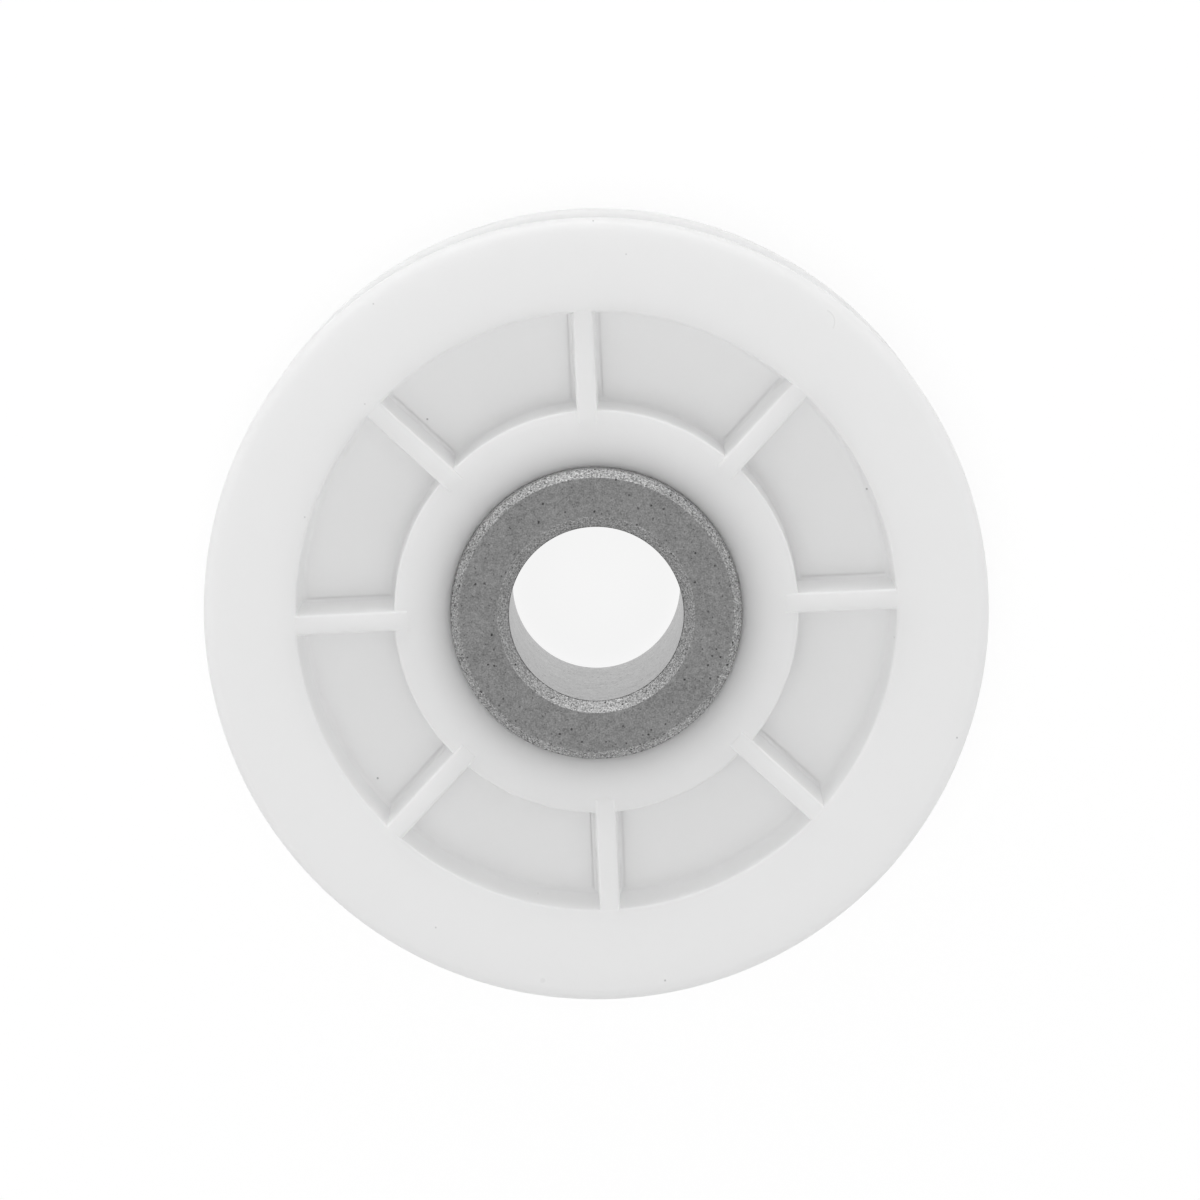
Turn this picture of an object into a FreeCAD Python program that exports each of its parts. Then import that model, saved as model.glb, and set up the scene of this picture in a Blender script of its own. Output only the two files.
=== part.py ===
"""Idler pulley of a tumble dryer: a moulded wheel on a sintered metal bush.

The pulley lies on the lower end of its bush, so its axis runs along +Z and the origin is the
middle of that end. The wheel is one moulding: a hub that grips the bush, a web in the middle
of its width, eight ribs on each face and a rim with a groove for the flat belt.
"""
import FreeCAD, Part
import math
import os

V = FreeCAD.Vector

# Bush. All lengths are in millimetres.
bush_length = 28.6
bore_diameter = 15.88
bush_wall = 5.3
bore_chamfer = 1.0
bush_edge_chamfer = 0.75

# Hub of the wheel, moulded tight around the bush.
hub_wall = 5.2
hub_length = 23.4
hub_lip_round = 0.2

# Rim with its two flanges and the tread between them.
flange_diameter = 71.6
rim_width = 23.8
flange_thickness = 3.8
flange_slope = 4.0
tread_diameter = 61.4
rim_wall = 3.5
flange_corner_round = 1.0
groove_lip_round = 0.6
groove_root_round = 1.2

# Web and the pockets on both sides of it.
web_thickness = 4.4
pocket_draft = 1.0
pocket_root_round = 0.5
pocket_lip_round = 0.25

# Ribs between hub and rim.
rib_count = 8
rib_thickness = 1.8
rib_draft = 1.0
rib_inset = 0.05
rib_top_round = 0.25
rib_root_round = 0.4
rib_turn = 2.6
rib_embed = 1.2


def rounded_outline(corners):
    """Closed wire through (x, y, radius) corners, with a tangent arc at each corner that has one."""
    starts, arcs, ends = [], [], []
    count = len(corners)
    for i, (x, y, radius) in enumerate(corners):
        here = V(x, y, 0)
        before = V(corners[i - 1][0], corners[i - 1][1], 0) - here
        after = V(corners[(i + 1) % count][0], corners[(i + 1) % count][1], 0) - here
        before.normalize()
        after.normalize()
        if radius <= 0:
            starts.append(here)
            ends.append(here)
            arcs.append(None)
            continue
        half = before.getAngle(after) / 2
        reach = radius / math.tan(half)
        inward = before + after
        inward.normalize()
        centre = here + inward * (radius / math.sin(half))
        starts.append(here + before * reach)
        ends.append(here + after * reach)
        arcs.append(Part.Arc(starts[i], centre - inward * radius, ends[i]).toShape())
    edges = []
    for i in range(count):
        if arcs[i] is not None:
            edges.append(arcs[i])
        reach = starts[(i + 1) % count] - ends[i]
        if reach.Length > 1e-6:
            edges.append(Part.makeLine(ends[i], starts[(i + 1) % count]))
    return Part.Wire(edges)


def turned(corners):
    """Solid of revolution about Z from (radius, height, rounding) corners."""
    face = Part.Face(rounded_outline(corners))
    face.rotate(V(0, 0, 0), V(1, 0, 0), 90)
    return face.revolve(V(0, 0, 0), V(0, 0, 1), 360)


def slant(height, degrees):
    return height * math.tan(math.radians(degrees))


# Levels along the axis.
mid = bush_length / 2
hub_low, hub_high = mid - hub_length / 2, mid + hub_length / 2
rim_low, rim_high = mid - rim_width / 2, mid + rim_width / 2
web_low, web_high = mid - web_thickness / 2, mid + web_thickness / 2

# Radii.
bore_radius = bore_diameter / 2
bush_radius = bore_radius + bush_wall
hub_radius = bush_radius + hub_wall
flange_radius = flange_diameter / 2
tread_radius = tread_diameter / 2
pocket_radius = tread_radius - rim_wall
hub_root_radius = hub_radius + slant(web_low - hub_low, pocket_draft)
pocket_mouth_radius = pocket_radius + slant(web_low - rim_low, pocket_draft)
groove_low = rim_low + flange_thickness
groove_high = rim_high - flange_thickness
groove_slant = slant(flange_radius - tread_radius, flange_slope)

# Bush: a plain sleeve, chamfered at its four edges.
bush = turned([
    (bore_radius + bore_chamfer, 0, 0),
    (bush_radius - bush_edge_chamfer, 0, 0),
    (bush_radius, bush_edge_chamfer, 0),
    (bush_radius, bush_length - bush_edge_chamfer, 0),
    (bush_radius - bush_edge_chamfer, bush_length, 0),
    (bore_radius + bore_chamfer, bush_length, 0),
    (bore_radius, bush_length - bore_chamfer, 0),
    (bore_radius, bore_chamfer, 0),
])

# Turned body of the wheel: hub, web and rim in one outline.
wheel = turned([
    (bush_radius, hub_low, 0),
    (hub_radius, hub_low, hub_lip_round),
    (hub_root_radius, web_low, pocket_root_round),
    (pocket_radius, web_low, pocket_root_round),
    (pocket_mouth_radius, rim_low, pocket_lip_round),
    (flange_radius, rim_low, flange_corner_round),
    (flange_radius, groove_low, groove_lip_round),
    (tread_radius, groove_low + groove_slant, groove_root_round),
    (tread_radius, groove_high - groove_slant, groove_root_round),
    (flange_radius, groove_high, groove_lip_round),
    (flange_radius, rim_high, flange_corner_round),
    (pocket_mouth_radius, rim_high, pocket_lip_round),
    (pocket_radius, web_high, pocket_root_round),
    (hub_root_radius, web_high, pocket_root_round),
    (hub_radius, hub_high, hub_lip_round),
    (bush_radius, hub_high, 0),
])

# One rib on both sides of the web, drawn across its length and run out from hub to rim.
rib_low, rib_high = rim_low + rib_inset, rim_high - rib_inset
top_half = rib_thickness / 2
root_half = top_half + slant(web_low - rib_low, rib_draft)
foot_half = root_half + rib_root_round * math.tan(math.radians(45 + rib_draft / 2))
foot_depth = web_thickness / 4
outline = [
    (top_half, rib_low, rib_top_round),
    (root_half, web_low, rib_root_round),
    (foot_half, web_low, 0),
    (foot_half, web_low + foot_depth, 0),
    (foot_half, web_high - foot_depth, 0),
    (foot_half, web_high, 0),
    (root_half, web_high, rib_root_round),
    (top_half, rib_high, rib_top_round),
]
outline += [(-across, level, rounding) for across, level, rounding in reversed(outline)]
section = Part.Face(rounded_outline(outline))
section.rotate(V(0, 0, 0), V(1, 0, 0), 90)
section.rotate(V(0, 0, 0), V(0, 0, 1), 90)
rib_start = hub_radius - rib_embed
rib_end = pocket_mouth_radius + rib_embed
section.translate(V(rib_start, 0, 0))
rib = section.extrude(V(rib_end - rib_start, 0, 0))

ribs = []
for i in range(rib_count):
    copy = rib.copy()
    copy.rotate(V(0, 0, 0), V(0, 0, 1), rib_turn + 360 * i / rib_count)
    ribs.append(copy)
wheel = wheel.fuse(ribs).removeSplitter()

os.makedirs("parts", exist_ok=True)
for name, shape in (("pulley_wheel", wheel), ("bearing_bush", bush)):
    print(name, "solids", len(shape.Solids), "valid", shape.isValid(),
          "volume", round(shape.Volume, 2), "faces", len(shape.Faces))
    shape.exportStep("parts/" + name + ".step")
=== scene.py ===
"""Idler pulley of a tumble dryer, lying on the end of its bush and seen from above."""
import math

import bmesh
import bpy
from mathutils import Matrix, Vector


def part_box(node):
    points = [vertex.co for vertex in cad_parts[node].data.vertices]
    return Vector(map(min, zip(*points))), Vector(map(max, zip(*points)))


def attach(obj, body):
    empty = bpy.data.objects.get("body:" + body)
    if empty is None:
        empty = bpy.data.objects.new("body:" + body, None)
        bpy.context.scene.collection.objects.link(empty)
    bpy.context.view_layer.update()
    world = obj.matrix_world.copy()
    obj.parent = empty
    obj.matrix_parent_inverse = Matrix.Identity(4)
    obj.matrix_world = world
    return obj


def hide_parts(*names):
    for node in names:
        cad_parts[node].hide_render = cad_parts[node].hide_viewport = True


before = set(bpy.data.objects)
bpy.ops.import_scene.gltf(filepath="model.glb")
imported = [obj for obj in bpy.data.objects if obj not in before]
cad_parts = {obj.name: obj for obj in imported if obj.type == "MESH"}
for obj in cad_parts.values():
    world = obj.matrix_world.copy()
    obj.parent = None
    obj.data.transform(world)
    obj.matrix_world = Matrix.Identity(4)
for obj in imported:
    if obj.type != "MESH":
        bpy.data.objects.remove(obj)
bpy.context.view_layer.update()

# The place the pulley is shown in: a white table under soft studio light.
# The camera stands over the pulley with a long lens, six degrees off its axis, so all it sees
# around the pulley is the table, which keeps the pulley's soft shadow.


class Lead:
    """One output of a shader node. A sum written with leads adds its Math nodes."""

    def __init__(self, socket):
        self.socket = socket
        self.tree = socket.id_data

    def sum(self, operation, *terms, clamp=False):
        node = self.tree.nodes.new("ShaderNodeMath")
        node.operation = operation
        node.use_clamp = clamp
        for place, term in zip(node.inputs, terms):
            if isinstance(term, Lead):
                self.tree.links.new(term.socket, place)
            else:
                place.default_value = term
        return Lead(node.outputs[0])

    def __add__(self, other):
        return self.sum("ADD", self, other)

    __radd__ = __add__

    def __mul__(self, other):
        return self.sum("MULTIPLY", self, other)

    def __sub__(self, other):
        return self.sum("SUBTRACT", self, other)

    def __rsub__(self, other):
        return self.sum("SUBTRACT", other, self)

    def rise(self, low, high):
        """0 up to low, 1 from high, with an even slope between them."""
        return self.sum("MULTIPLY", self - low, 1 / (high - low), clamp=True)


class Finish:
    """A material or a world, and the nodes that make it."""

    def __init__(self, owner):
        owner.use_nodes = True
        self.owner = owner
        self.tree = owner.node_tree
        self.tree.nodes.clear()

    def node(self, kind, settings=None, sockets=None, out=0):
        """Adds a node: its settings first, then the values or leads of its sockets."""
        node = self.tree.nodes.new(kind)
        for name, value in (settings or {}).items():
            setattr(node, name, value)
        for name, value in (sockets or {}).items():
            if isinstance(value, Lead):
                self.tree.links.new(value.socket, node.inputs[name])
            else:
                node.inputs[name].default_value = value
        return Lead(node.outputs[out]) if len(node.outputs) else None


table = Finish(bpy.data.materials.new("white_table"))
rays = table.node("ShaderNodeLightPath").socket.node.outputs
is_seen = Lead(rays["Is Camera Ray"])
is_glossy = Lead(rays["Is Glossy Ray"])
is_through = Lead(rays["Is Transmission Ray"])
shown = (is_seen + is_glossy + is_through).rise(0, 1)
plain = table.node("ShaderNodeBsdfDiffuse", sockets={"Color": (0.8, 0.8, 0.8, 1)})
bright = table.node("ShaderNodeBsdfDiffuse", sockets={"Color": (0.16, 0.16, 0.16, 1)})
lift = table.node("ShaderNodeEmission", sockets={"Color": (1, 1, 1, 1), "Strength": 0.87})
lifted = table.node("ShaderNodeAddShader", sockets={0: bright, 1: lift})
top = table.node("ShaderNodeMixShader", sockets={0: shown, 1: plain, 2: lifted})
table.node("ShaderNodeOutputMaterial", sockets={"Surface": top})

bpy.ops.mesh.primitive_plane_add(size=4)
ground = bpy.context.object
ground.name = "table_top"
ground.data.materials.append(table.owner)

room = Finish(bpy.data.worlds.new("studio"))
bpy.context.scene.world = room.owner
heading = room.node("ShaderNodeTexCoord")
climb = room.node("ShaderNodeSeparateXYZ", sockets={0: heading}, out=2)
walls = room.node("ShaderNodeBackground", sockets={"Color": (1, 1, 1, 1), "Strength": 0.7})
ceiling = room.node("ShaderNodeBackground", sockets={"Color": (1, 1, 1, 1), "Strength": 0.48})
sky = room.node("ShaderNodeMixShader", sockets={0: climb.rise(0, 1), 1: walls, 2: ceiling})
room.node("ShaderNodeOutputWorld", sockets={"Surface": sky})


def soft_lamp(name, place, width, height, radiance, mirrored=True):
    """A flat soft box that faces the pulley, as bright as radiance all over.

    Only a mirrored one is seen in the pulley's glossy faces.
    """
    lamp = bpy.data.lights.new(name, "AREA")
    lamp.shape = "RECTANGLE"
    lamp.size = width
    lamp.size_y = height
    lamp.energy = radiance * math.pi * width * height
    holder = bpy.data.objects.new(name, lamp)
    holder.location = place
    holder.rotation_euler = (-Vector(place)).to_track_quat("-Z", "Y").to_euler()
    holder.visible_glossy = mirrored
    bpy.context.scene.collection.objects.link(holder)


soft_lamp("lamp_overhead", (-0.03, -0.05, 1.1), 0.4, 0.4, 4.8, mirrored=False)
soft_lamp("lamp_top", (-0.05, 0.8, 0.16), 0.9, 0.3, 2.2)
soft_lamp("lamp_left", (-0.8, 0.05, 0.15), 0.6, 0.28, 1.5, mirrored=False)
soft_lamp("lamp_right", (0.8, 0, 0.15), 0.6, 0.28, 1.0, mirrored=False)

# Where the middle of the bush's upper end is in the 1200 px photograph, and its distance.
frame_width = 1200
focal_pixels = 6419
bush_end_pixel = (596.3, 615.1)
bush_end_distance = 0.582
tilt = math.radians(5.9)
look = Vector((0, -math.sin(tilt), -math.cos(tilt)))
up = Vector((0, math.cos(tilt), -math.sin(tilt)))
right = Vector((1, 0, 0))
bush_end = Vector((0, 0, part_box("bearing_bush")[1].z))
across = (bush_end_pixel[0] - frame_width / 2) / focal_pixels * bush_end_distance
down = (bush_end_pixel[1] - frame_width / 2) / focal_pixels * bush_end_distance
camera = bpy.data.cameras.new("camera")
camera.sensor_width = 36
camera.lens = focal_pixels / frame_width * camera.sensor_width
camera.clip_start = 0.01
eye = bpy.data.objects.new("camera", camera)
turn = Matrix((right, up, -look)).transposed().to_4x4()
stand = bush_end - look * bush_end_distance - right * across + up * down
eye.matrix_world = Matrix.Translation(stand) @ turn
bpy.context.scene.collection.objects.link(eye)
bpy.context.scene.camera = eye
bpy.context.scene.view_settings.view_transform = "Standard"
# Light bounces many times between the white walls of the pockets before it fades.
bpy.context.scene.cycles.diffuse_bounces = 16
bpy.context.scene.cycles.max_bounces = 24

# The bush: a sleeve pressed from iron powder and sintered, then sized, so its faces are dull
# and finely pored and its chamfers and bore are rubbed brighter; the chamfers are also painted
# lighter, with more glints, as a painted sheen. It is tight in the hub.
MM = 0.001
bush_length = 28.6
bore_radius = 7.94
bush_radius = 13.24
bore_chamfer = 1.0
bush_edge_chamfer = 0.75
face_edge_round = 0.08
bore_edge_round = 0.1


def softened(corners, arc_steps=6, hold=0.06):
    """Points of an outline whose (x, y, radius) corners are rounded.

    A point close to each end of every flat, at the distance hold, keeps the flat's shading even.
    """
    points = []
    for i, (x, y, radius) in enumerate(corners):
        here = Vector((x, y))
        before = (Vector(corners[i - 1][:2]) - here).normalized()
        after = (Vector(corners[(i + 1) % len(corners)][:2]) - here).normalized()
        if radius <= 0:
            points += [here + before * hold, here, here + after * hold]
            continue
        half = before.angle(after) / 2
        reach = radius / math.tan(half)
        centre = here + (before + after).normalized() * radius / math.sin(half)
        first, last = here + before * reach - centre, here + after * reach - centre
        points.append(here + before * (reach + hold))
        swing = first.angle(last)
        for step in range(arc_steps + 1):
            share = step / arc_steps
            a = math.sin((1 - share) * swing) / math.sin(swing)
            b = math.sin(share * swing) / math.sin(swing)
            points.append(centre + first * a + last * b)
        points.append(here + after * (reach + hold))
    return points


def lathe(name, outline, steps=256):
    """A closed ring turned about the Z axis from (radius, height) points in millimetres."""
    mesh = bpy.data.meshes.new(name)
    count = len(outline)
    points, faces = [], []
    for step in range(steps):
        angle = 2 * math.pi * step / steps
        for across, level in outline:
            points.append((across * MM * math.cos(angle), across * MM * math.sin(angle), level * MM))
        for i in range(count):
            j = (i + 1) % count
            this, following = step * count, (step + 1) % steps * count
            faces.append((this + i, following + i, following + j, this + j))
    mesh.from_pydata(points, [], faces)
    return mesh


def smoothed(mesh, degrees=28):
    """Shades the mesh smooth, apart from its edges sharper than this."""
    form = bmesh.new()
    form.from_mesh(mesh)
    bmesh.ops.recalc_face_normals(form, faces=form.faces)
    for face in form.faces:
        face.smooth = True
    for edge in form.edges:
        edge.smooth = len(edge.link_faces) == 2 and edge.calc_face_angle() < math.radians(degrees)
    form.to_mesh(mesh)
    form.free()


def piece(name, mesh):
    made = bpy.data.objects.new(name, mesh)
    bpy.context.scene.collection.objects.link(made)
    return made


bush_mesh = lathe("bush_sleeve", softened([
    (bore_radius + bore_chamfer, 0, face_edge_round),
    (bore_radius, bore_chamfer, bore_edge_round),
    (bore_radius, bush_length - bore_chamfer, bore_edge_round),
    (bore_radius + bore_chamfer, bush_length, face_edge_round),
    (bush_radius - bush_edge_chamfer, bush_length, face_edge_round),
    (bush_radius, bush_length - bush_edge_chamfer, face_edge_round),
    (bush_radius, bush_edge_chamfer, face_edge_round),
    (bush_radius - bush_edge_chamfer, 0, face_edge_round),
], arc_steps=4))
smoothed(bush_mesh)
bush = piece("bush_sleeve", bush_mesh)


def stretched(finish, place, scales):
    """The place with its three numbers multiplied by scales."""
    return finish.node("ShaderNodeVectorMath", {"operation": "MULTIPLY"}, {0: place, 1: scales})


def place_in_mm(finish):
    """The place on the part in millimetres, and how far it is from the axis."""
    place = stretched(finish, finish.node("ShaderNodeTexCoord", out=3), (1 / MM, 1 / MM, 1 / MM))
    across = stretched(finish, place, (1, 1, 0))
    from_axis = finish.node("ShaderNodeVectorMath", {"operation": "LENGTH"}, {0: across}, out=1)
    return place, from_axis


def noise(finish, place, scale, detail, roughness=0.5):
    """Cloudy noise between 0 and 1, finer with a larger scale."""
    sockets = {"Vector": place, "Scale": scale, "Detail": detail, "Roughness": roughness}
    return finish.node("ShaderNodeTexNoise", sockets=sockets)


def dots(finish, place, scale, low, high):
    """1 in scattered dots up to the radius low, fading to 0 at high."""
    cells = finish.node("ShaderNodeTexVoronoi", sockets={"Vector": place, "Scale": scale})
    return 1 - cells.rise(low, high)


def grey(finish, tone):
    """A neutral grey, as light as tone."""
    return finish.node("ShaderNodeCombineColor", sockets={"Red": tone, "Green": tone, "Blue": tone})


def relief(finish, height, strength, depth):
    """Fine bumps in the surface's shading, up to depth high."""
    sockets = {"Height": height, "Strength": strength, "Distance": depth}
    return finish.node("ShaderNodeBump", sockets=sockets)


inner_edge = bore_radius + bore_chamfer
outer_edge = bush_radius - bush_edge_chamfer
sintered = Finish(bpy.data.materials.new("sintered_metal"))
place, from_axis = place_in_mm(sintered)
patches = noise(sintered, place, scale=0.35, detail=3)
grain = noise(sintered, place, scale=2.6, detail=6, roughness=0.75)
sparkle = noise(sintered, place, scale=6.5, detail=2)
streak = noise(sintered, stretched(sintered, place, (1, 1, 6)), scale=0.9, detail=4)
pores = dots(sintered, place, 1.1, 0.08, 0.16) + dots(sintered, place, 2.3, 0.1, 0.2) * 0.6
in_bore = 1 - from_axis.rise(bore_radius + 0.02, bore_radius + 0.06)
inner_chamfer = (1 - from_axis.rise(inner_edge - 0.04, inner_edge + 0.06)) - in_bore
outer_chamfer = (from_axis + (patches - 0.5) * 0.5).rise(outer_edge - 0.1, outer_edge + 0.05)
rubbed_and_sheen = inner_chamfer + outer_chamfer
joint = from_axis.rise(bush_radius - 0.12, bush_radius - 0.02) * grain.rise(0.35, 0.6)
# Painted sheen: the chamfers' colour is made lighter and more glinting than the face's. It stands in
# for light glancing off them, on top of their real rubbing.
tone = (
    0.44
    + (patches - 0.5) * 0.14
    + (grain - 0.5) * 0.6
    + (sparkle - 0.5) * (0.5 + rubbed_and_sheen * 0.9)
    + inner_chamfer * 0.2
    + outer_chamfer * 0.05
    + in_bore * ((streak - 0.5) * 0.5 - 0.06)
    - pores * 0.28
    - joint * 0.22
)
height = grain * 0.5 + sparkle * (0.3 + rubbed_and_sheen * 1.2) - pores * 0.8
metal = sintered.node(
    "ShaderNodeBsdfPrincipled",
    sockets={
        "Base Color": grey(sintered, tone),
        "Metallic": 1.0,
        "Roughness": 0.45 + grain * 0.1 + rubbed_and_sheen * 0.15 - in_bore * 0.2,
        "Normal": relief(sintered, height, strength=0.5, depth=0.06 * MM),
    },
)
sintered.node("ShaderNodeOutputMaterial", sockets={"Surface": metal})
bush_mesh.materials.append(sintered.owner)
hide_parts("bearing_bush")
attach(bush, "root")

# The wheel: one moulding in natural acetal, white and a little translucent, so it looks
# greyer where the dark bush lies behind it; that grey is painted shade in its colour near the bush.
# Its faces keep a few specks of dust.
seat_radius = 13.26
hub_radius = 18.44
hub_root_radius = 18.61
pocket_radius = 27.2
pocket_mouth_radius = 27.37
tread_radius = 30.7
flange_radius = 35.8
middle = bush_length / 2
hub_half = 11.7
rim_half = 11.9
web_half = 2.2
flange_thickness = 3.8
groove_slant = 0.36
seat_round = 0.12
hub_lip_round = 0.2
pocket_root_round = 0.5
pocket_lip_round = 0.25
flange_corner_round = 1.0
groove_lip_round = 0.6
groove_root_round = 1.2

upper = [
    (seat_radius, hub_half, seat_round),
    (hub_radius, hub_half, hub_lip_round),
    (hub_root_radius, web_half, pocket_root_round),
    (pocket_radius, web_half, pocket_root_round),
    (pocket_mouth_radius, rim_half, pocket_lip_round),
    (flange_radius, rim_half, flange_corner_round),
    (flange_radius, rim_half - flange_thickness, groove_lip_round),
    (tread_radius, rim_half - flange_thickness - groove_slant, groove_root_round),
]
lower = [(across, -level, radius) for across, level, radius in reversed(upper)]
around = [(across, middle + level, radius) for across, level, radius in upper + lower]
wheel_mesh = lathe("wheel_moulding", softened(around, arc_steps=8))

# The ribs run from inside the hub to inside the rim, and their feet sink into the web.
rib_count = 8
rib_turn = math.radians(2.6)
rib_top_half = 0.9
rib_top_round = 0.25
rib_root_half = 1.07
rib_root_round = 0.4
rib_rise = rim_half - 0.05
rib_start = 17.24
rib_end = 28.57
foot_half = rib_root_half + 0.41
foot_depth = 1.1
quarter = [
    (rib_top_half, rib_rise, rib_top_round),
    (rib_root_half, web_half, rib_root_round),
    (foot_half, web_half, 0),
    (foot_half, web_half - foot_depth, 0),
]
half = quarter + [(across, -level, radius) for across, level, radius in reversed(quarter)]
whole = half + [(-across, level, radius) for across, level, radius in reversed(half)]
rib_outline = softened(whole, arc_steps=5, hold=0.02)
points, faces = [], []
for number in range(rib_count):
    angle = rib_turn + 2 * math.pi * number / rib_count
    out = Vector((math.cos(angle), math.sin(angle)))
    side = Vector((-math.sin(angle), math.cos(angle)))
    start = len(points)
    for reach in (rib_start, rib_end):
        for across, level in rib_outline:
            spot = out * reach + side * across
            points.append((spot.x * MM, spot.y * MM, (middle + level) * MM))
    count = len(rib_outline)
    for i in range(count):
        j = (i + 1) % count
        faces.append((start + i, start + j, start + count + j, start + count + i))
    faces.append(tuple(range(start + count - 1, start - 1, -1)))
    faces.append(tuple(range(start + count, start + 2 * count)))
ribs_mesh = bpy.data.meshes.new("ribs")
ribs_mesh.from_pydata(points, [], faces)
smoothed(wheel_mesh)
smoothed(ribs_mesh)
wheel = piece("wheel_moulding", wheel_mesh)
ribs = piece("ribs", ribs_mesh)
union = wheel.modifiers.new("ribs", "BOOLEAN")
union.operation = "UNION"
union.solver = "EXACT"
union.object = ribs
bpy.context.view_layer.update()
joined = bpy.data.meshes.new_from_object(wheel.evaluated_get(bpy.context.evaluated_depsgraph_get()))
wheel.modifiers.clear()
wheel.data = joined
bpy.data.objects.remove(ribs)
smoothed(joined)

# Specks of dust and small marks: their place and radius in mm, and how dark they are.
face = middle + rim_half
floor = middle + web_half
specks = [
    (-0.28, 35.6, face, 0.12, 0.3),
    (-15.6, 16.9, floor, 0.12, 0.4),
    (24.97, 10.46, floor, 0.13, 0.4),
    (-20.3, -16.5, floor, 0.13, 0.5),
    (32.9, -11.5, face, 0.12, 0.35),
    (27.25, -2.5, face - 2, 0.1, 0.3),
    (-26.5, 8.7, face, 0.1, 0.25),
    (2.7, 32.6, face, 0.1, 0.2),
    (-20.2, 28.1, face, 0.1, 0.25),
    (-21.0, 19.0, face, 0.1, 0.2),
    (-14.7, -29.0, face, 0.11, 0.25),
    (6.3, -33.9, face, 0.12, 0.35),
    (-4.9, -33.9, face, 0.3, 0.08),
    (-5.43, -26.9, floor + 3.5, 0.2, 0.6),
    (-5.3, -27.1, floor + 4, 0.13, 0.4),
    (14.95, 22.65, floor, 0.1, 0.25),
    (15.1, 22.75, floor, 0.1, 0.3),
    (15.25, 22.85, floor, 0.1, 0.25),
]
# A curled hair on the rim's face, drawn as a row of small dots.
hair_centre = (20.45, 26.45)
hair_bend = 1.15
hair_dots = 12
hair_start = 62
hair_step = 8
for step in range(hair_dots):
    angle = math.radians(hair_start - hair_step * step)
    hair_x = hair_centre[0] + hair_bend * math.cos(angle)
    hair_y = hair_centre[1] + hair_bend * math.sin(angle)
    specks.append((hair_x, hair_y, face, 0.09, 0.12))

acetal = Finish(bpy.data.materials.new("white_acetal"))
place, from_axis = place_in_mm(acetal)
cloud = noise(acetal, place, scale=0.09, detail=3)
satin = noise(acetal, place, scale=2.5, detail=4)
# Painted shade: the colour is greyer close to the bush. It stands in for the light that the dark
# bush soaks up through the plastic.
painted_shade_near_bush = 1 - from_axis.rise(14.4, 17.8)
soiled = (1 - from_axis.rise(seat_radius + 0.02, seat_radius + 0.14)) * satin.rise(0.3, 0.6)
# A speck reaches ten times as deep as it is wide, so that it isn't missed on an uneven face.
depth_share = 0.1
squashed = stretched(acetal, place, (1, 1, depth_share))
dust = 0
for x, y, z, size, strength in specks:
    spot = {0: squashed, 1: (x, y, z * depth_share)}
    gap = acetal.node("ShaderNodeVectorMath", {"operation": "DISTANCE"}, spot, out=1)
    dust = dust + (1 - gap.rise(size * 0.5, size)) * strength
tone = 0.97 - painted_shade_near_bush * 0.1 - soiled * 0.25 + (cloud - 0.5) * 0.02 - dust
plastic = acetal.node(
    "ShaderNodeBsdfPrincipled",
    {"subsurface_method": "RANDOM_WALK"},
    sockets={
        "Base Color": grey(acetal, tone),
        "Roughness": 0.36 + satin * 0.1,
        "IOR": 1.48,
        "Subsurface Weight": 1.0,
        "Subsurface Radius": (1.0, 1.0, 1.0),
        "Subsurface Scale": 4.5 * MM,
        "Normal": relief(acetal, satin, strength=0.15, depth=0.04 * MM),
    },
)
acetal.node("ShaderNodeOutputMaterial", sockets={"Surface": plastic})
joined.materials.clear()
joined.materials.append(acetal.owner)
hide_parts("pulley_wheel")
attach(wheel, "root")
